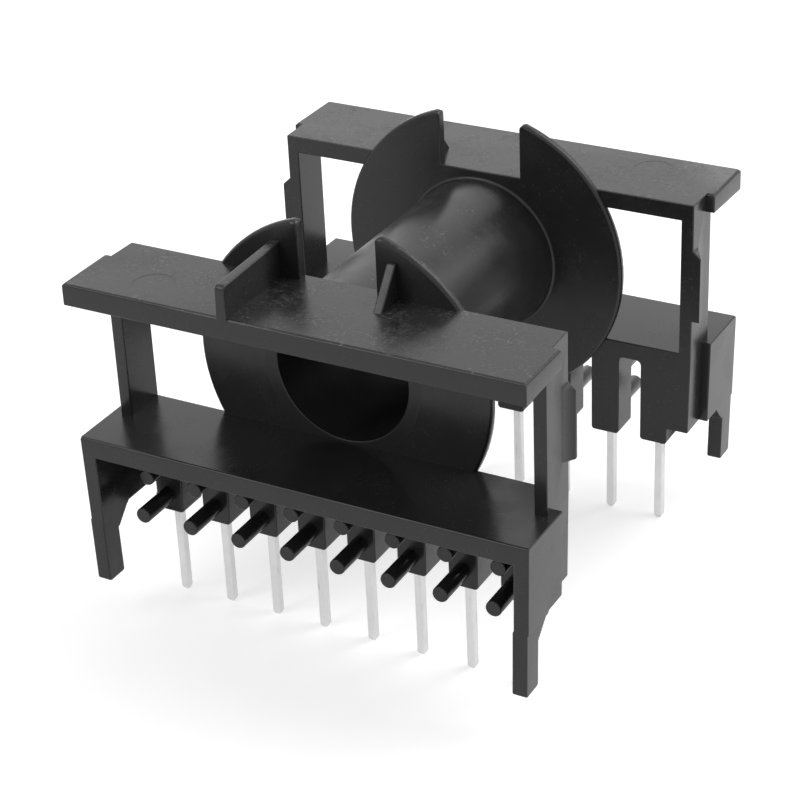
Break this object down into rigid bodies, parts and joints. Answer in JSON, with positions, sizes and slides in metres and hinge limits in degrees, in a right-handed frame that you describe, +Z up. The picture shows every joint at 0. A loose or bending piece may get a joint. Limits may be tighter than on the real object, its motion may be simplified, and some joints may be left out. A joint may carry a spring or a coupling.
{
  "type": "transformer bobbin",
  "caption": "One-piece moulded coil former with a flanged tube between two terminal frames and two rows of square solder pins.",
  "frame": {"origin": "middle of the former in plan, at the tips of the pins", "axes": "+X along the rows of pins, +Y along the coil axis away from the finned frame, +Z up"},
  "size_m": [0.0446, 0.0462, 0.0401],
  "materials": {
    "moulding": "satin moulded, glass-filled",
    "tinned_pin": "dull hot-dipped tin"
  },
  "bodies": {
    "root": {"coil_former": "moulding", "pin_01": "tinned_pin", "pin_02": "tinned_pin", "pin_03": "tinned_pin", "pin_04": "tinned_pin", "pin_05": "tinned_pin", "pin_06": "tinned_pin", "pin_07": "tinned_pin", "pin_08": "tinned_pin", "pin_09": "tinned_pin", "pin_10": "tinned_pin", "pin_11": "tinned_pin", "pin_12": "tinned_pin", "pin_13": "tinned_pin", "pin_14": "tinned_pin", "pin_15": "tinned_pin", "pin_16": "tinned_pin"}
  },
  "joints": []
}
